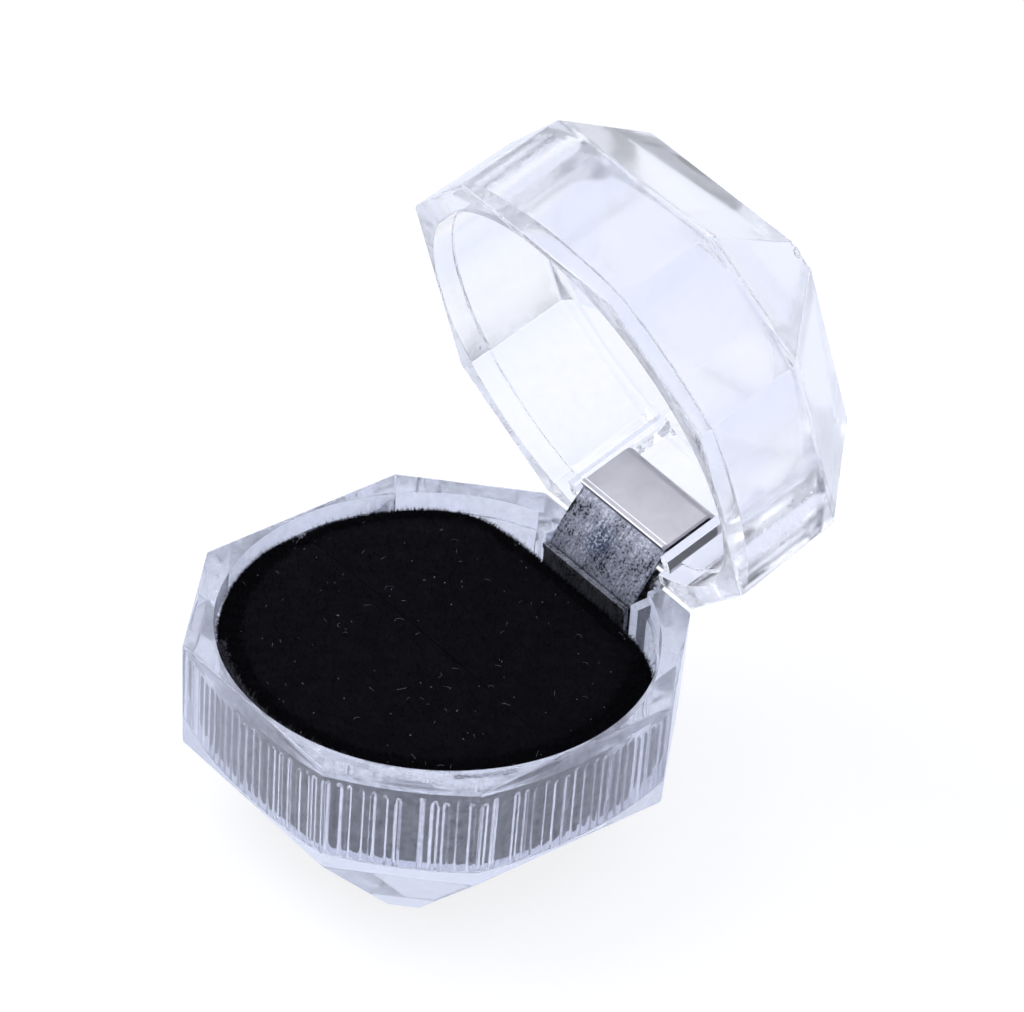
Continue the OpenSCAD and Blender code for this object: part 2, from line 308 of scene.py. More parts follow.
# %% [markdown]
# ## The hollow of a cup
# The hollow is round, with a slightly wider mouth that ends in a small ledge. In the lid the
# rest is plain; in the base its wall carries upright grip ribs that hold the pad. A rib is a
# low ridge with a round top, so its height at a point falls off with the distance to the line
# down its middle, like the end of a capsule. The mould is worn, so some ribs are fainter.

# %% Round and ribbed hollows
rib_count, rib_h, rib_drop = 112, 0.35, 2.7


def hollow_profile(depth, lip=0.08):
    """Half section of the hollow as rows of (radius, z): floor, rounded corner, wall, ledge,
    mouth wall and flared lip."""
    corner = np.linspace(0, math.pi / 2, 5)
    low_r = bore_r - hollow_r + hollow_r * np.sin(corner)
    low_z = hollow_r - depth - hollow_r * np.cos(corner)
    low = np.stack([low_r, low_z], 1)
    wall_z = np.linspace(hollow_r - depth, -mouth_depth - 0.1, 30)[1:]
    wall = np.stack([np.full(wall_z.size, bore_r), wall_z], 1)
    mouth_r = bore_r + mouth_step
    ledge = [
        [bore_r + 0.1, -mouth_depth], [mouth_r - 0.06, -mouth_depth + 0.02],
        [mouth_r, -mouth_depth + 0.1],
    ]
    flare = np.linspace(0, math.pi / 2, 3)
    top = np.stack([mouth_r + lip - lip * np.cos(flare), -lip + lip * np.sin(flare)], 1)
    return np.vstack([[[bore_r / 2, -depth]], low, wall, ledge, top, [[mouth_r + lip, 1.0]]])


def hollow(name, depth, ribbed, around=896):
    """Solid that fills the hollow. Radius = profile radius - rib height x cos of the capsule
    distance."""
    section = hollow_profile(depth)
    turn = np.arange(around) * 2 * math.pi / around
    radius = np.repeat(section[:, :1], around, axis=1)
    height = np.repeat(section[:, 1:], around, axis=1)
    if ribbed:
        draws = np.random.default_rng(5)
        pitch = 2 * math.pi / rib_count
        number = np.floor(turn / pitch).astype(int)
        half_width = pitch * bore_r * draws.uniform(0.24, 0.38, rib_count)[number]
        top_z = -rib_drop - half_width - draws.uniform(-0.1, 0.35, rib_count)[number]
        shift = draws.uniform(-0.08, 0.08, rib_count)[number]
        beside = (turn / pitch - number - 0.5 - shift) * pitch * bore_r
        above = np.maximum(height - top_z, 0)
        away = np.minimum(np.hypot(beside, above) / half_width, 1)
        strength = np.clip(draws.normal(0.85, 0.3, rib_count), 0.15, 1.0)[number]
        depth_share = np.clip((height + depth) / hollow_r, 0, 1)
        radius = radius - rib_h * strength * np.cos(away * math.pi / 2) * depth_share
    rings = np.stack([radius * np.cos(turn), radius * np.sin(turn), height], axis=-1)
    return skin_rings(name, rings)


# %% [markdown]
# ## The seat of the hinge
# Behind, the wall has a rectangular recess for the steel leaf, two upright cheeks beside it,
# and two stakes that are pressed over the leaf when the box is put together. These are small
# blocks and pegs, joined to the moulding or cut out of it.

# %% Hinge recess, cheeks and stakes
side_gap, cheek_t, knuckle_r, spring_len = 0.3, 1.0, 0.95, 6.3
recess_half = hinge_w / 2 + side_gap
stake_x, stake_r, stake_head = hinge_w * 0.3, 0.7, 0.35
stake_depth = (leaf_depth - leaf_t + spring_len / 2) / 2 - rim_gap / 2


def peg(name, x, z, reach, radius):
    """Round peg that points inwards from the rear wall, its end edge rounded."""
    turn = np.linspace(0, 2 * math.pi, 32, endpoint=False)
    ends = [(0.3, 1.0), (-reach + 0.08, 1.0), (-reach, 0.88)]
    seat_y = pin_y - leaf_seat
    rings = []
    for y, share in ends:
        ring_x, ring_z = x + radius * share * np.sin(turn), z + radius * share * np.cos(turn)
        rings.append(np.stack([ring_x, np.full(turn.size, seat_y + y), ring_z], 1))
    return skin_rings(name, np.array(rings)[:, ::-1])


def chip(name, centre, radius, sides=5):
    """Small double pyramid, cut out of an edge to leave a chip, or a dimple where sides is
    large. It is turned by an angle that grows with its size, so that no two chips lie alike."""
    turn = np.linspace(0, 2 * math.pi, sides, endpoint=False) + radius * 9
    rings = []
    for share, lift in ((0.05, -1.0), (0.7, -0.7), (1.0, 0.0), (0.7, 0.7), (0.05, 1.0)):
        x, y = centre[0] + share * radius * np.cos(turn), centre[1] + share * radius * np.sin(turn)
        rings.append(np.stack([x, y, np.full(sides, centre[2] + lift * radius)], 1))
    return skin_rings(name, np.array(rings))


def gate_scar(solid):
    """Chips at one corner of the table, where the moulding was broken off its sprue, and the
    round mark of a mould pin on the wall."""
    draws = np.random.default_rng(31)
    for share in np.linspace(0, 1, 7):
        x, y = table_w / 2 - table_cut * (1 - share), table_cut * share - table_w / 2
        centre = np.array([x, y, -cup_h]) + draws.normal(0, 0.18, 3)
        combine(solid, chip("chip", centre, draws.uniform(0.25, 0.6)), "DIFFERENCE")
    combine(solid, chip("pin_mark", (-10.2, -20.1, -9.8), 0.55, 24), "DIFFERENCE")
    return solid


def cup(name, depth, ribbed):
    """One cup, rim at z = 0 and table down: outside less hollow, with the hinge's seat."""
    solid = combine(faceted_outside(name), hollow("hollow", depth, ribbed), "DIFFERENCE")
    front = pin_y - front_plate
    for side in (-1, 1):
        inner, outer = side * (recess_half - 0.2), side * (recess_half + cheek_t)
        low = (min(inner, outer), front, -depth - 0.8)
        high = (max(inner, outer), pin_y - 1, -lip_depth / 2)
        combine(solid, block("cheek", low, high), "UNION")
    recess_low = (-recess_half, front - leaf_t, -leaf_depth - side_gap)
    recess_high = (recess_half, pin_y - leaf_seat, 1)
    combine(solid, block("recess", recess_low, recess_high), "DIFFERENCE")
    notch_low = (-recess_half, pin_y - leaf_seat - 1, -knuckle_r - side_gap)
    notch_high = (recess_half, pin_y + 1, 1)
    combine(solid, block("notch", notch_low, notch_high), "DIFFERENCE")
    for side in (-1, 1):
        stake = peg("stake", side * stake_x, -stake_depth, leaf_t + stake_head, stake_r)
        combine(solid, stake, "UNION")
    return solid


# %% [markdown]
# ## Placing and dressing a piece
# Each finished object stays at the origin, with its place in its mesh. The lid is made like
# the base, then mirrored on to it and swung open about the pin. Smooth shading rounds the
# ribs and small arcs, and weighted normals keep the large facets flat beside them.

# %% Placement helpers
to_base = Matrix.Translation((0, 0, cup_h * MM))
to_lid = (Matrix.Translation((0, pin_y * MM, pin_z * MM)) @ Matrix.Rotation(-open_angle, 4, "X")
          @ Matrix.Translation((0, -pin_y * MM, rim_gap / 2 * MM)) @ Matrix.Diagonal((1, 1, -1, 1)))


def place_mesh(piece, matrix):
    """Moves the points of the mesh, and turns its faces out again if the move is a mirror."""
    piece.data.transform(matrix)
    if matrix.determinant() < 0:
        piece.data.flip_normals()
    return piece


def shade(piece, material, sharp_degrees=38):
    """Smooth shading with sharp edges past an angle, flat facets kept by weighted normals."""
    piece.data.materials.clear()
    piece.data.materials.append(material)
    piece.data.shade_smooth()
    piece.data.set_sharp_from_angle(angle=math.radians(sharp_degrees))
    piece.modifiers.new("facets", "WEIGHTED_NORMAL").keep_sharp = True
    return piece


def finish_piece(piece, body, slot, *nodes):
    """Says which body the piece rides on and hides the CAD nodes that it stands for. slot, the name
    of its finish, is not used.
    """
    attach(piece, body)
    if nodes:
        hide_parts(*nodes)
    print(f"{piece.name}: {len(piece.data.polygons)} faces, rides on {body}")
    return piece


# %% Base cup and lid cup
base_cup = shade(place_mesh(cup("base_cup", base_hollow, True), to_base), base_plastic)
finish_piece(base_cup, "base", "clear_shell", "base_shell")
lid_cup = shade(place_mesh(gate_scar(cup("lid_cup", lid_hollow, False)), to_lid), lid_plastic)
finish_piece(lid_cup, "lid", "clear_shell", "lid_shell")

# %% [markdown]
# ## The foam block
# Under the velvet lies a disc of black open-cell foam. Only its dark side shows, through the
# ribbed wall. It is a lathe shape cut straight behind, made uneven by a gentle ripple.

# %% Foam material
def open_cell_foam(name):
    """Black polyurethane foam: round pores about 0.6 mm apart, seen as a rough matte bump."""
    material, tree = blank_material(name)
    place = node(tree, "TexCoord").outputs["Object"]
    pores = node(tree, "TexVoronoi", {"Vector": place, "Scale": 1 / (0.6 * MM)})
    tone = node(tree, "Mix", {
        0: pores.outputs["Distance"], 6: linear("#0c0c0f"), 7: linear("#26262c"),
    }, data_type="RGBA")
    bump = node(tree, "Bump", {
        "Height": pores.outputs["Distance"], "Strength": 0.6, "Distance": 0.2 * MM,
    })
    surface = node(tree, "BsdfPrincipled", {
        "Base Color": tone.outputs[2], "Roughness": 0.95, "Specular IOR Level": 0.2,
        "Normal": bump.outputs["Normal"],
    })
    node(tree, "OutputMaterial", {"Surface": surface.outputs["BSDF"]})
    return material


black_foam = open_cell_foam("open_cell_foam")
print("made", black_foam.name)

# %% Pad outline and foam
pad_turn = np.arange(480) * 2 * math.pi / 480


def pad_edge(turn, radius, chord, power=14):
    """Distance from the middle to a circle cut by the line y = chord: the two distances, each
    to the power -14, are added and the root taken, which rounds the corner between them."""
    line = np.where(np.sin(turn) > 0.05, chord / np.maximum(np.sin(turn), 0.05), 20 * radius)
    return (radius ** -power + line ** -power) ** (-1 / power)


def pad_solid(name, edge, rows):
    """Closed pad through rows of (inset from the edge, z); the last rows may lie in on the
    crown."""
    rings = []
    for inset, z in rows:
        x, y = (edge - inset) * np.cos(pad_turn), (edge - inset) * np.sin(pad_turn)
        rings.append(np.stack([x, y, np.full(edge.size, z)], 1))
    return skin_rings(name, np.array(rings))


foam_top = foam_high[2]
foam_rows = [(1.4, foam_low[2] + 0.02), (0.9, foam_low[2] + 0.1), (0.5, foam_low[2] + 0.8)]
side_z = np.linspace(foam_low[2] + 2, foam_top - 0.3, 12)
foam_rows += [(0.14 + 0.08 * math.sin(3 * z), z) for z in side_z]
foam_rows += [(0.4, foam_top)]
foam_disc = pad_solid("foam_disc", pad_edge(pad_turn, foam_r, pad_chord), foam_rows)
shade(foam_disc, black_foam, 60)
finish_piece(foam_disc, "base", "pad_foam", "pad_foam")

# %% [markdown]
# ## The velvet cap
# The velvet is flocked cloth drawn over the foam, so its edge is soft and its face is not
# quite flat. A cloth simulation with a little air pressure gives that: the cap starts from a
# slightly smaller form, swells, and no point may move further than a cap on its travel. It
# runs ten times too large, because cloth settings are made for things the size of a cushion.
# The slit that takes a ring parts the cap into two halves. The front half is pushed out
# against the wall of the mouth and the rear half less so, which leaves a small step at the
# end of the slit.

# %% Velvet material
def flock(name, base_hex, tip_hex):
    """Black rayon flock: nearly no light back face on, a soft sheen from the side of the fibres."""
    material, tree = blank_material(name)
    place = node(tree, "TexCoord").outputs["Object"]
    nap = node(tree, "TexNoise", {"Vector": place, "Scale": 1 / (1.6 * MM), "Detail": 4.0})
    tone = node(tree, "Mix", {
        0: nap.outputs["Fac"], 6: linear(base_hex), 7: linear(tip_hex),
    }, data_type="RGBA")
    surface = node(tree, "BsdfPrincipled", {
        "Base Color": tone.outputs[2], "Roughness": 0.9, "Specular IOR Level": 0.05,
        "Sheen Weight": 0.02, "Sheen Roughness": 0.4, "Sheen Tint": linear("#8d90a8"),
    })
    node(tree, "OutputMaterial", {"Surface": surface.outputs["BSDF"]})
    return material


black_flock = flock("black_flock", "#040405", "#0d0d12")
print("made", black_flock.name)

# %% Velvet cap
velvet_t, velvet_tuck = 0.9, 0.6
velvet_z, pad_crown = velvet_low[2], velvet_high[2] - velvet_low[2] - velvet_t


def velvet_edge():
    """Outline of the cap. Rear half: radius - 0.65. Front half: up to 0.43 more, growing over 5 mm
    from the slit. At the slit's ends the outline dips by 0.5 e^(-(d / 0.45)^2), d from the slit.
    The right rear corner is pushed out 0.6 / (1 + (a / 17)^6), a in degrees from its middle."""
    ahead = slit_y - velvet_r * np.sin(pad_turn)
    grow = np.clip(ahead / 5, 0, 1)
    front = 1 / (1 + np.exp(-ahead / 0.15))
    bulge = front * (0.05 + 0.38 * grow * grow * (3 - 2 * grow))
    dip = 0.5 * np.exp(-(ahead / 0.45) ** 2)
    corner = 0.6 / (1 + ((np.degrees(pad_turn) - 30) / 17) ** 6)
    return pad_edge(pad_turn, velvet_r - 0.65 + bulge + corner - dip, pad_chord)


turns = np.linspace(0, math.pi / 2, 6)
velvet_rows = [(1.2, velvet_z + 0.02), (0.15, velvet_z + 0.08)]
velvet_face = velvet_z + velvet_t
velvet_rows += [(velvet_tuck * (1 - math.cos(t)), velvet_face - velvet_tuck * (1 - math.sin(t)))
                for t in turns]
velvet_rows += [(inset, velvet_face + pad_crown * (inset / 14) ** 0.7)
                for inset in (2, 3.5, 5.5, 8, 11, 14)]
velvet_top = pad_solid("velvet_top", velvet_edge(), velvet_rows)


def swell(piece, pressure, frames, cap_mm, voxel_mm, pinned_mm=0.3, scale=10.0):
    """Cloth under air pressure, with the lowest pinned_mm held. Points move cap_mm at most."""
    piece.data.transform(Matrix.Scale(scale, 4))
    remesh = piece.modifiers.new("even", "REMESH")
    remesh.mode, remesh.voxel_size = "VOXEL", voxel_mm * MM * scale
    settle(piece)
    count = len(piece.data.vertices)
    start = np.zeros(count * 3, np.float32)
    piece.data.vertices.foreach_get("co", start)
    start = start.reshape(-1, 3)
    pins = np.flatnonzero(start[:, 2] < (velvet_z + pinned_mm) * MM * scale)
    group = piece.vertex_groups.new(name="underside")
    group.add(pins.tolist(), 1.0, "REPLACE")
    cloth = piece.modifiers.new("cloth", "CLOTH")
    cloth.settings.use_pressure = True
    cloth.settings.uniform_pressure_force = pressure
    cloth.settings.vertex_group_mass = "underside"
    cloth.settings.effector_weights.gravity = 0.0
    for step in range(1, frames + 1):
        scene.frame_set(step)
    settle(piece)
    end = np.zeros(count * 3, np.float32)
    piece.data.vertices.foreach_get("co", end)
    travel = end.reshape(-1, 3) - start
    far = np.linalg.norm(travel, axis=1, keepdims=True)
    limit = cap_mm * MM * scale
    travel *= np.minimum(1, limit / np.maximum(far, 1e-9))
    piece.data.vertices.foreach_set("co", ((start + travel) / scale).ravel())
    piece.data.update()
    scene.frame_set(1)
    mean_mm = float(far.mean()) / scale / MM
    print(f"{piece.name}: {count} points swelled by {mean_mm:.2f} mm on average")
    return piece


swell(velvet_top, pressure=4.0, frames=16, cap_mm=0.2, voxel_mm=0.4)
slit_half, slit_floor, slit_end, slit_top = 0.1, 0.3, 20, 21
wedge = np.array([
    [-slit_end, slit_y, velvet_z + slit_floor],
    [-slit_end, slit_y + slit_half, slit_top], [-slit_end, slit_y - slit_half, slit_top],
])
slit = skin_rings("slit", np.array([wedge, wedge + [2 * slit_end, 0, 0]]))
combine(velvet_top, slit, "DIFFERENCE")
shade(velvet_top, black_flock, 80)
finish_piece(velvet_top, "base", "velvet", "velvet_cap")

# %% [markdown]
# ## The pile
# Velvet shows as fibres at its edge and as a faint grain on top. Each fibre is a thin
# three-sided strand that starts on the cap, leans a little and tapers to a tip. All strands
# are computed at once: points on the cap are picked by area, and arrays hold every path.

# %% Strands on the velvet
def surface_points(piece, count, draws, keep):
    """Points spread evenly by area over the triangles that keep() accepts, with their normals."""
    mesh = piece.data
    mesh.calc_loop_triangles()
    points = np.zeros(len(mesh.vertices) * 3)
    mesh.vertices.foreach_get("co", points)
    corners = np.zeros(len(mesh.loop_triangles) * 3, int)
    mesh.loop_triangles.foreach_get("vertices", corners)
    triangles = points.reshape(-1, 3)[corners.reshape(-1, 3)] / MM
    normals = np.cross(triangles[:, 1] - triangles[:, 0], triangles[:, 2] - triangles[:, 0])
    areas = np.linalg.norm(normals, axis=1)
    normals = normals / np.maximum(areas, 1e-9)[:, None]
    share = areas * keep(triangles.mean(axis=1), normals)
    picked = draws.choice(len(share), count, p=share / share.sum())
    a, b = np.sqrt(draws.random((count, 1))), draws.random((count, 1))
    t = triangles[picked]
    return t[:, 0] * (1 - a) + t[:, 1] * a * (1 - b) + t[:, 2] * a * b, normals[picked]


def strands(name, paths, radius):
    """Three-sided tubes along paths[n, m]. Each has a flat root, tapers to half its radius and
    ends in a point."""
    count, stations = paths.shape[:2]
    along = paths[:, -1] - paths[:, 0]
    along /= np.linalg.norm(along, axis=1, keepdims=True)
    helper = np.where(np.abs(along[:, 2:]) > 0.9, [[1.0, 0, 0]], [[0, 0, 1.0]])
    side = np.cross(along, helper)
    side /= np.linalg.norm(side, axis=1, keepdims=True)
    other = np.cross(along, side)
    turn = np.arange(3) * 2 * math.pi / 3
    cosine, sine = np.cos(turn)[None, :, None], np.sin(turn)[None, :, None]
    ring = side[:, None] * cosine + other[:, None] * sine
    taper = radius * np.linspace(1, 0.5, stations - 1)
    tube = paths[:, :-1, None] + ring[:, None] * taper[None, :, None, None]
    points = np.concatenate([tube.reshape(count, -1, 3), paths[:, -1:]], axis=1)
    size = points.shape[1]
    first = np.arange(count) * size
    k, i = np.meshgrid(np.arange(stations - 2), np.arange(3), indexing="ij")
    j = (i + 1) % 3
    quad = np.stack([3 * k + i, 3 * k + j, 3 * k + 3 + j, 3 * k + 3 + i], -1).reshape(-1, 4)
    last = 3 * (stations - 2)
    ends = np.array([[0, 2, 1]] + [[last + n, last + (n + 1) % 3, size - 1] for n in range(3)])
    faces = (first[:, None, None] + quad).reshape(-1, 4).tolist()
    faces += (first[:, None, None] + ends).reshape(-1, 3).tolist()
    mesh = bpy.data.meshes.new(name)
    mesh.from_pydata((points.reshape(-1, 3) * MM).tolist(), [], faces)
    piece = bpy.data.objects.new(name, mesh)
    scene.collection.objects.link(piece)
    return piece


def pile(name, count, length_mm, lean, keep, seed, radius=0.026):
    """Strands that stand on the velvet along its normal, each leaning its own way. Their tips
    stay inside the mouth: a tip past the wall is drawn back to it."""
    draws = np.random.default_rng(seed)
    root, normal = surface_points(velvet_top, count, draws, keep)
    sideways = draws.normal(0, lean, (count, 3))
    length = length_mm * draws.uniform(0.6, 1.2, (count, 1))
    direction = normal + sideways
    direction /= np.linalg.norm(direction, axis=1, keepdims=True)
    bend = draws.normal(0, 0.14, (count, 3)) * length
    middle = root + direction * length * 0.5 + bend * 0.5
    paths = np.stack([root - normal * 0.03, middle, root + direction * length + bend], axis=1)
    out = np.linalg.norm(paths[..., :2], axis=-1, keepdims=True)
    paths[..., :2] *= np.minimum(1, (bore_r + mouth_step - 0.04) / out)
    return strands(name, paths, radius)


def near_edge(p, n):
    """Marks the rounded edge of the cap and a band inside it, round the circle and the chord."""
    outer = (np.hypot(p[:, 0], p[:, 1]) > velvet_r - 2.4) | (p[:, 1] > pad_chord - 2)
    return (n[:, 2] > -0.3) & outer


top_pile = pile("velvet_pile", 16000, 0.34, 0.45, lambda p, n: n[:, 2] > 0.6, 11)
edge_pile = pile("velvet_edge_pile", 16000, 0.46, 0.4, near_edge, 12)
for fibres in (top_pile, edge_pile):
    fibres.data.materials.append(black_flock)
    finish_piece(fibres, "base", "velvet")

# %% [markdown]
# ## Lint and a painted sheen on the edge
# Black velvet holds every pale fibre that falls on it: short curled hairs of lint and a few
# specks of dust lie on the pile. At the front the nap of the rounded edge catches the light,
# and that sheen is painted as a band of grey strands.

# %% Lint, dust and grey fuzz
def plain_fibre(name, dark_hex, light_hex):
    """Dull fibre, its tone changing from place to place over 2 mm."""
    material, tree = blank_material(name)
    place = node(tree, "TexCoord").outputs["Object"]
    patches = node(tree, "TexNoise", {"Vector": place, "Scale": 1 / (2 * MM), "Detail": 1.0})
    tone = node(tree, "Mix", {0: patches.outputs["Fac"], 6: linear(dark_hex), 7: linear(light_hex)},
                data_type="RGBA")
    surface = node(tree, "BsdfPrincipled", {"Base Color": tone.outputs[2], "Roughness": 0.8})
    node(tree, "OutputMaterial", {"Surface": surface.outputs["BSDF"]})
    return material


def lint(name, count, length_mm, radius, seed):
    """Curled fibres that lie on the velvet: a fibre's heading turns steadily, so each is a piece
    of a circle, x = sum of cos(heading), y = sum of sin(heading)."""
    draws = np.random.default_rng(seed)
    root, _ = surface_points(velvet_top, count, draws, lambda p, n: n[:, 2] > 0.9)
    stations = 8
    length = length_mm * draws.gamma(3.0, 0.33, (count, 1))
    start = draws.uniform(0, 2 * math.pi, (count, 1))
    heading = start + draws.normal(0, 1.4, (count, 1)) * np.linspace(0, 1, stations)
    step = length / stations
    x = root[:, :1] + np.cumsum(np.cos(heading) * step, axis=1)
    y = root[:, 1:2] + np.cumsum(np.sin(heading) * step, axis=1)
    z = root[:, 2:] + 0.32 + 0.08 * np.sin(np.linspace(0, math.pi, stations))
    return strands(name, np.stack([x, y, np.broadcast_to(z, x.shape)], axis=-1), radius)


def sheen_sector(p, n):
    """Marks a narrow sector of the rounded edge, from 60 to 122 degrees clockwise of +X."""
    angle = np.degrees(np.arctan2(p[:, 1], p[:, 0]))
    outer = (np.hypot(p[:, 0], p[:, 1]) > velvet_r - 0.9) & (n[:, 2] > 0.2)
    return outer & (angle > -122) & (angle < -60)


pale_lint = lint("pale_lint", 90, 0.5, 0.011, 21)
pale_lint.data.materials.append(plain_fibre("lint_fibre", "#34343c", "#a9aab4"))
dust = lint("dust_specks", 60, 0.1, 0.024, 22)
dust.data.materials.append(plain_fibre("dust_fibre", "#4c4c56", "#d2d2da"))
# Grey strands along that sector of the front edge: painted sheen, where the edge's nap catches the
# light.
sheen_fuzz = pile("painted_sheen_fuzz", 2200, 0.5, 0.5, sheen_sector, 23)
sheen_fuzz.data.materials.append(plain_fibre("sheen_fibre", "#2c2c30", "#7c7c84"))
for fibres in (pale_lint, dust, sheen_fuzz):
    finish_piece(fibres, "base", "velvet")

# %% [markdown]
# ## The hinge steel
# The leaves are nickel-plated strip, folded to a channel. The plate is smooth and bright with
# a soft reflection. The spring is bare spring steel: blue-grey, mottled from its heat
# treatment and scratched along its length. The base leaf's plate has worn off in the same
# way, so it shares the spring's graph, with greyer tones.

# %% Steel materials
def plated_steel(name, dull_hex, clean_hex):
    """Nickel plate over rolled steel: smooth, with faint cloudy stains 3 mm wide."""
    material, tree = blank_material(name)
    place = node(tree, "TexCoord").outputs["Object"]
    stains = node(tree, "TexNoise", {
        "Vector": place, "Scale": 1 / (3 * MM), "Detail": 2.0, "Distortion": 1.5,
    })
    tone = node(tree, "Mix", {0: stains.outputs["Fac"], 6: linear(dull_hex), 7: linear(clean_hex)},
                data_type="RGBA")
    grain = node(tree, "TexNoise", {"Vector": place, "Scale": 1 / (0.25 * MM), "Detail": 2.0})
    rough = node(tree, "MapRange", {"Value": grain.outputs["Fac"], 3: 0.26, 4: 0.36})
    bump = node(tree, "Bump", {
        "Height": grain.outputs["Fac"], "Strength": 0.08, "Distance": 0.02 * MM,
    })
    surface = node(tree, "BsdfPrincipled", {
        "Base Color": tone.outputs[2], "Metallic": 1.0, "Roughness": rough.outputs[0],
        "Normal": bump.outputs["Normal"],
    })
    node(tree, "OutputMaterial", {"Surface": surface.outputs["BSDF"]})
    return material


def speckled_steel(name, along, stain, dull_hex, clean_hex):
    """Old spring steel: grains 0.24 mm wide between dark pits, thickest towards both ends of
    the pin, and scratches along the strip. along turns the strip's length on to Z. stain is
    the middle of a dark blue stain 3 mm across."""
    material, tree = blank_material(name)
    place = node(tree, "TexCoord").outputs["Object"]
    turned = node(tree, "Mapping", {"Vector": place, "Rotation": (along, 0.0, 0.0)})
    thin = node(tree, "Mapping", {"Vector": turned.outputs[0], "Scale": (1.0, 1.0, 0.12)})
    clouds = node(tree, "TexNoise", {
        "Vector": place, "Scale": 1 / (3.4 * MM), "Detail": 2.0, "Distortion": 0.6,
    })
    grains = node(tree, "TexNoise", {
        "Vector": place, "Scale": 1 / (0.24 * MM), "Detail": 2.0, "Roughness": 0.7,
    })
    scratches = node(tree, "TexNoise", {
        "Vector": thin.outputs[0], "Scale": 1 / (0.25 * MM), "Detail": 1.0,
    })
    sideways = node(tree, "SeparateXYZ", {"Vector": place})
    sideways = node(tree, "Math", {0: sideways.outputs["X"]}, operation="ABSOLUTE")
    edges = node(tree, "MapRange", {
        "Value": sideways.outputs[0], 1: 3.2 * MM, 2: 5.8 * MM, 4: 0.07,
    })
    clean = node(tree, "MapRange", {
        "Value": clouds.outputs["Fac"], 1: 0.35, 2: 0.65, 3: -0.05, 4: 0.16,
    })
    lines = node(tree, "Math", {0: scratches.outputs["Fac"], 1: 0.45}, operation="MULTIPLY")
    marks = node(tree, "Math", {0: grains.outputs["Fac"], 1: lines.outputs[0]}, operation="ADD")
    marks = node(tree, "Math", {0: marks.outputs[0], 1: edges.outputs[0]}, operation="SUBTRACT")
    marks = node(tree, "Math", {0: marks.outputs[0], 1: clean.outputs[0]}, operation="ADD")
    off = node(tree, "VectorMath", {0: place, 1: stain}, operation="DISTANCE")
    blue = node(tree, "MapRange", {
        "Value": off.outputs["Value"], 1: 2.3 * MM, 2: 0.6 * MM, 4: 0.85,
    })
    tone = node(tree, "Mix", {0: clouds.outputs["Fac"], 6: linear(dull_hex), 7: linear(clean_hex)},
                data_type="RGBA")
    tone = node(tree, "Mix", {
        0: blue.outputs[0], 6: tone.outputs[2], 7: linear("#2c3a55"),
    }, data_type="RGBA")
    dark = node(tree, "MapRange", {"Value": marks.outputs[0], 1: 0.54, 2: 0.7})
    light = node(tree, "MapRange", {"Value": marks.outputs[0], 1: 0.8, 2: 0.98, 4: 0.8})
    pitted = node(tree, "Mix", {
        0: dark.outputs[0], 6: linear("#26272a"), 7: tone.outputs[2],
    }, data_type="RGBA")
    wear_and_painted_light = node(tree, "Mix", {
        0: light.outputs[0], 6: pitted.outputs[2], 7: linear("#c2c5cd"),
    }, data_type="RGBA")
    rough = node(tree, "MapRange", {"Value": marks.outputs[0], 1: 0.5, 2: 1.0, 3: 0.6, 4: 0.34})
    bump = node(tree, "Bump", {"Height": marks.outputs[0], "Strength": 0.4, "Distance": 0.04 * MM})
    surface = node(tree, "BsdfPrincipled", {
        "Base Color": wear_and_painted_light.outputs[2], "Metallic": 1.0, "Roughness": rough.outputs[0],
        "Normal": bump.outputs["Normal"],
    })
    node(tree, "OutputMaterial", {"Surface": surface.outputs["BSDF"]})
    return material


nickel_plate = plated_steel("nickel_plate", "#adaaac", "#c1bfc3")
# A much brighter copy of the nickel plate, used for the lip's ridges: painted highlight.
nickel_painted_highlight = plated_steel("nickel_painted_highlight", "#f0f0f3", "#f8f8fa")
no_stain = (0.0, 1.0, 0.0)  # a metre away, where none of it shows
worn_plate = speckled_steel("worn_plate", 0.0, no_stain, "#6f7075", "#a6a7ae")
print("made", nickel_plate.name, nickel_painted_highlight.name, "and", worn_plate.name)

# %% [markdown]
# ## Folded strip
# A leaf is one strip, so it is drawn as the line down the middle of the steel: down the front
# plate, round a bend, across the web, round a bend, up the back plate. Half the thickness is
# laid off to each side of that line, and the closed outline is carried along the pin.

# %% Strip helpers
def strip(name, line, thickness, x1, x2, slices=2):
    """Strip of steel along line, rows of (distance in from the pin, depth below it), from x1 to
    x2. The outline is the line moved half the thickness along its normal, there and back."""
    step = np.gradient(line, axis=0)
    normal = np.stack([-step[:, 1], step[:, 0]], 1) / np.linalg.norm(step, axis=1, keepdims=True)
    outline = np.vstack([line + normal * thickness / 2, (line - normal * thickness / 2)[::-1]])
    y, z = -outline[:, 0], -outline[:, 1]
    if np.sum(y * np.roll(z, -1) - np.roll(y, -1) * z) < 0:
        y, z = y[::-1], z[::-1]
    rings = np.array([np.stack([np.full(y.size, x), y, z], 1) for x in np.linspace(x1, x2, slices)])
    return skin_rings(name, rings)


def join(name, parts):
    """One object out of several that share a material."""
    bpy.ops.object.select_all(action="DESELECT")
    for part in parts:
        part.select_set(True)
    bpy.context.view_layer.objects.active = parts[0]
    bpy.ops.object.join()
    joined = bpy.context.view_layer.objects.active
    joined.name = joined.data.name = name
    joined.select_set(False)
    return joined


def eased_edges(piece, width_mm):
    """Rounds the sheared edges a little, so that they catch the light."""
    bevel = piece.modifiers.new("edges", "BEVEL")
    bevel.width, bevel.segments, bevel.limit_method = width_mm * MM, 2, "ANGLE"
    bevel.angle_limit = math.radians(50)
    return settle(piece)


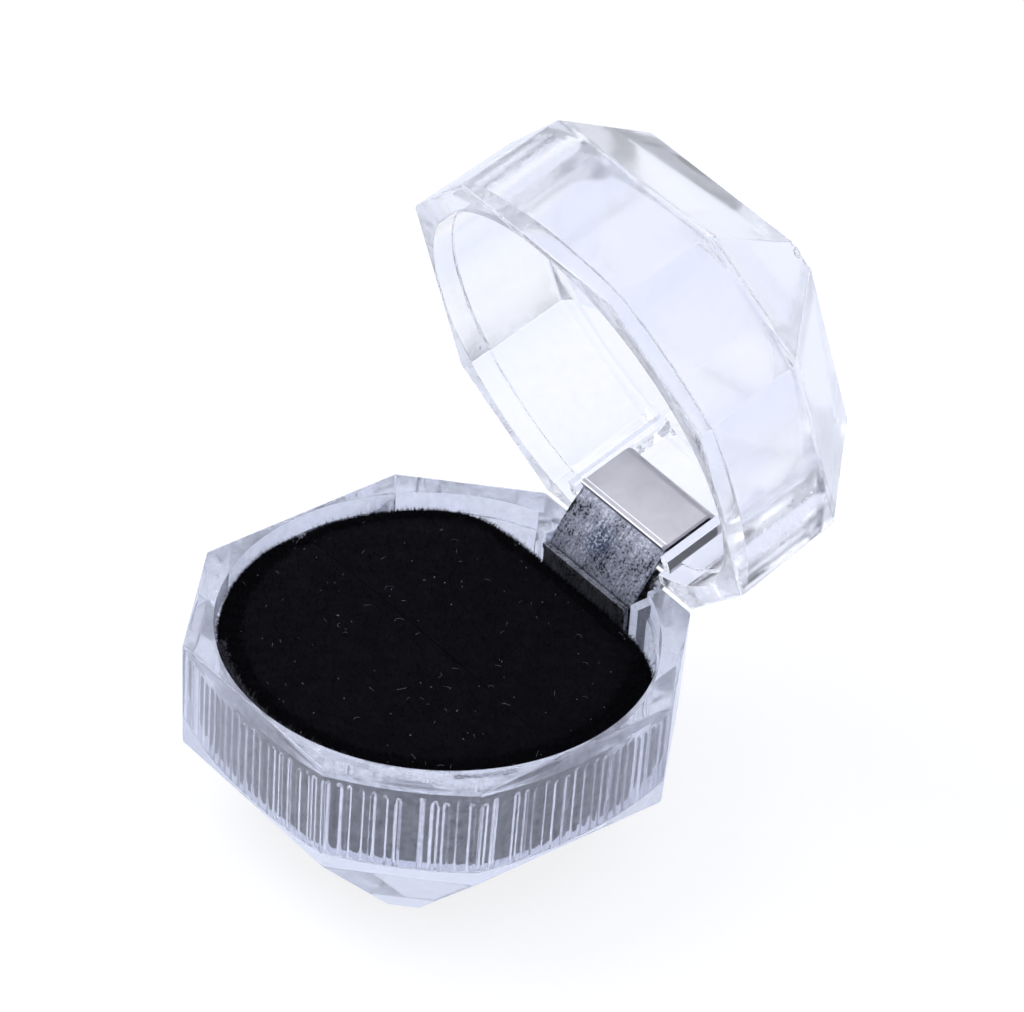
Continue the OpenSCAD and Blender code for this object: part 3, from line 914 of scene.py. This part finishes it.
# %% Hinge leaves
pin_r, pin_clear, knuckle_t = 0.5, 0.03, 0.42
knuckle_gap, knuckle_count = 0.12, 5
knuckle_pitch = (hinge_w + knuckle_gap) / knuckle_count
notch_depth = knuckle_r + side_gap


def leaf(name, first_knuckle):
    """Channel-shaped leaf about the pin, with a flat bead along its lip and every second knuckle
    rolled from its back plate."""
    front_line, back_line = front_plate + leaf_t / 2, leaf_seat + leaf_t / 2
    foot = leaf_depth - leaf_t / 2
    channel = soften(np.array([
        [front_line, lip_depth], [front_line, foot], [back_line, foot], [back_line, notch_depth],
    ]), 0.7, steps=7)
    parts = [strip("channel", channel, leaf_t, -hinge_w / 2, hinge_w / 2, slices=7)]
    bead_line = front_plate + leaf_t + bead_t / 2 - 0.02
    bead_depths = (lip_depth, lip_depth + bead_w / 2, lip_depth + bead_w)
    bead = np.array([[bead_line, depth] for depth in bead_depths])
    bead_x = hinge_w / 2 - 0.01
    parts.append(strip("bead", bead, bead_t + 0.04, -bead_x, bead_x, slices=3))
    curl = np.linspace(math.radians(-40), math.radians(250), 30)
    roll_r = pin_r + pin_clear + knuckle_t / 2
    for i in range(first_knuckle, knuckle_count, 2):
        x1 = i * knuckle_pitch - hinge_w / 2
        circle = np.stack([roll_r * np.cos(curl), -roll_r * np.sin(curl)], 1)
        tail = np.array([[back_line, notch_depth + 0.002]])
        x2 = x1 + knuckle_pitch - knuckle_gap
        parts.append(strip("knuckle", np.vstack([tail, circle]), knuckle_t, x1, x2))
    return eased_edges(join(name, parts), 0.05)


def ridges(name):
    """Two fine round ridges along both edges of the lip's bead, in a brighter copy of the nickel:
    painted highlight lines where these edges catch the light.
    """
    ridge_x = hinge_w / 2 - 0.02
    turn = np.linspace(0, 2 * math.pi, 16, endpoint=False)
    parts = []
    for depth, radius in ((lip_depth + 0.03, 0.1), (lip_depth + bead_w, 0.06)):
        y = radius * np.cos(turn) - front_plate - leaf_t - bead_t + 0.04
        z = radius * np.sin(turn) - depth
        rings = [np.stack([np.full(turn.size, x), y, z], 1) for x in (-ridge_x, ridge_x)]
        parts.append(skin_rings("ridge", np.array(rings)))
    return join(name, parts)


at_pin = Matrix.Translation((0, pin_y * MM, pin_z * MM))
lid_turn = at_pin @ Matrix.Rotation(-open_angle, 4, "X") @ Matrix.Diagonal((1, 1, -1, 1))
base_leaf = shade(place_mesh(leaf("base_leaf", 0), at_pin), worn_plate)
finish_piece(base_leaf, "base", "hinge_plated", "hinge_base_leaf")
lid_leaf = shade(place_mesh(leaf("lid_leaf", 1), lid_turn), nickel_plate)
finish_piece(lid_leaf, "lid", "hinge_plated", "hinge_lid_leaf")
# The lip's ridges take the brighter nickel: painted highlight lines.
lip_ridges = shade(place_mesh(ridges("lip_ridges"), lid_turn), nickel_painted_highlight)
finish_piece(lip_ridges, "lid", "hinge_plated")

# %% [markdown]
# ## The spring and the pin
# The spring is a flat strip, bowed a little, that bridges both leaves and turns half as far
# as the lid. It is an arc of a circle carried along the pin, so the same strip helper draws
# it. The pin is a short wire with domed ends, a stack of rings like the cups.

# %% Spring strip and pin
spring_t, spring_bow, spring_reach = 0.3, 0.25, 1.8


def bowed_strip(name):
    """Arc of a circle through both ends and the top of the bow: radius
    (half^2 + bow^2) / (2 bow)."""
    half = spring_len / 2
    bow_r = (half ** 2 + spring_bow ** 2) / (2 * spring_bow)
    turn = np.linspace(-1, 1, 25) * math.asin(half / bow_r)
    middle = bow_r - spring_t / 2
    line = np.stack([spring_reach - bow_r + middle * np.cos(turn), -middle * np.sin(turn)], 1)
    return eased_edges(strip(name, line, spring_t, -hinge_w / 2, hinge_w / 2, slices=25), 0.07)


def round_pin(name):
    """Pin with domed ends: its radius follows a quarter ellipse over the last 0.3 mm."""
    half, dome = hinge_w / 2 + 0.15, 0.3
    end = np.linspace(0, math.pi / 2, 5)
    x = np.concatenate([-half + dome * (1 - np.sin(end)), half - dome * (1 - np.sin(end[::-1]))])
    x = np.sort(x)
    inward = np.clip((half - np.abs(x)) / dome, 0, 1)
    radius = pin_r * np.maximum(np.sqrt(1 - (1 - inward) ** 2), 0.15)
    turn = np.linspace(0, 2 * math.pi, 32, endpoint=False)
    y, z = radius[:, None] * np.cos(turn), radius[:, None] * np.sin(turn)
    rings = np.stack([np.repeat(x[:, None], turn.size, 1), y, z], -1)
    return skin_rings(name, rings)


spring_turn = at_pin @ Matrix.Rotation(-open_angle / 2, 4, "X")
stain = spring_turn @ Vector((-0.9 * MM, -spring_reach * MM, 0))
blued_steel = speckled_steel("blued_spring_steel", open_angle / 2, stain, "#74767f", "#9b9eab")
spring = shade(place_mesh(bowed_strip("spring_strip"), spring_turn), blued_steel)
finish_piece(spring, "spring_strip", "hinge_spring_steel", "hinge_spring")
pin = shade(place_mesh(round_pin("hinge_rod"), at_pin), nickel_plate)
finish_piece(pin, "base", "hinge_plated", "hinge_pin")

# %% [markdown]
# ## Floor and light
# The box stands on a plain white card in soft light from all round, as in a light tent. To
# the camera the card is white. The tent's walls are a very pale lavender, which the clear
# plastic takes on wherever it bends or mirrors light. Seen through the plastic the card is
# lavender as well, save for a painted pool of lamp light behind the box and a painted white
# glow over the far end of the card, which shows through the top of the lid as a white window.

# %% Floor
pool_x, pool_y, pool_edge, pool_core = -40, 56, 42, 8
far_start, far_full = 115, 150


def pale_floor(name):
    """White card that shows the box's shadow faintly: scattered light and some light of its own.
    To the camera its own light is white. Through plastic and in steel it is lavender, save for
    two painted places: a painted patch of lamp light around a spot behind the box, and a painted
    glow that whitens the card far from that spot."""
    material, tree = blank_material(name)
    path = node(tree, "LightPath")
    seen = node(tree, "Math", {0: path.outputs["Is Camera Ray"], 1: path.outputs["Is Glossy Ray"]},
                operation="MAXIMUM")
    seen = node(tree, "Math", {0: seen.outputs[0], 1: path.outputs["Is Transmission Ray"]},
                operation="MAXIMUM")
    share = node(tree, "Math", {0: seen.outputs[0], 1: 0.75}, operation="MULTIPLY")
    place = node(tree, "TexCoord").outputs["Object"]
    pool_at = (pool_x * MM, pool_y * MM, 0.0)
    away = node(tree, "VectorMath", {0: place, 1: pool_at}, operation="DISTANCE")
    # Painted light: near the spot behind the box, and far from it, the card's own light is made
    # white.
    painted_pool = node(tree, "MapRange", {
        "Value": away.outputs["Value"], 1: pool_edge * MM, 2: pool_core * MM, 3: 0.0, 4: 0.9,
    }, interpolation_type="SMOOTHSTEP")
    painted_far_glow = node(tree, "MapRange", {
        "Value": away.outputs["Value"], 1: far_start * MM, 2: far_full * MM,
    }, interpolation_type="SMOOTHSTEP")
    white = node(tree, "Math", {0: painted_pool.outputs[0], 1: painted_far_glow.outputs[0]}, operation="MAXIMUM")
    white = node(tree, "Math", {0: white.outputs[0], 1: path.outputs["Is Camera Ray"]},
                 operation="MAXIMUM")
    tone = node(tree, "Mix", {0: white.outputs[0], 6: linear("#ebf0ff"), 7: linear("#ffffff")},
                data_type="RGBA")
    card = node(tree, "BsdfDiffuse", {"Color": linear("#f4f5fa")})
    light = node(tree, "Emission", {"Color": tone.outputs[2], "Strength": 1.07})
    both = node(tree, "MixShader", {0: share.outputs[0], 1: card.outputs[0], 2: light.outputs[0]})
    node(tree, "OutputMaterial", {"Surface": both.outputs[0]})
    return material


floor_half = 3000.0
floor_ring = np.array([[-1, -1, 0], [1, -1, 0], [1, 1, 0], [-1, 1, 0]]) * floor_half
floor_mesh = bpy.data.meshes.new("floor")
floor_mesh.from_pydata((floor_ring * MM).tolist(), [], [(0, 1, 2, 3)])
floor = bpy.data.objects.new("floor", floor_mesh)
floor.data.materials.append(pale_floor("white_card"))
scene.collection.objects.link(floor)
print("floor", 2 * floor_half * MM, "m across")

# %% Sky and lamp
world = bpy.data.worlds.new("light_tent")
world.use_nodes = True
scene.world = world
sky = world.node_tree
sky.nodes.clear()
tent = node(sky, "Background", {"Color": linear("#edf1ff"), "Strength": 1.0})
node(sky, "OutputWorld", {"Surface": tent.outputs[0]})

lamp_data = bpy.data.lights.new("soft_key", "AREA")
lamp_data.shape, lamp_data.size, lamp_data.energy = "DISK", 0.5, 2.0
lamp = bpy.data.objects.new("soft_key", lamp_data)
lamp_place = Vector((-0.35, -0.25, 0.6))
aim = lamp_place.to_track_quat("Z", "Y").to_matrix().to_4x4()
lamp.matrix_world = Matrix.Translation(lamp_place) @ aim
scene.collection.objects.link(lamp)

scene.view_settings.view_transform = "Standard"
scene.cycles.max_bounces = 32
scene.cycles.glossy_bounces = 24
scene.cycles.transmission_bounces = 32
scene.cycles.use_denoising = True
print("lamp", round(lamp_place.length, 2), "m away,", lamp_data.energy, "W")
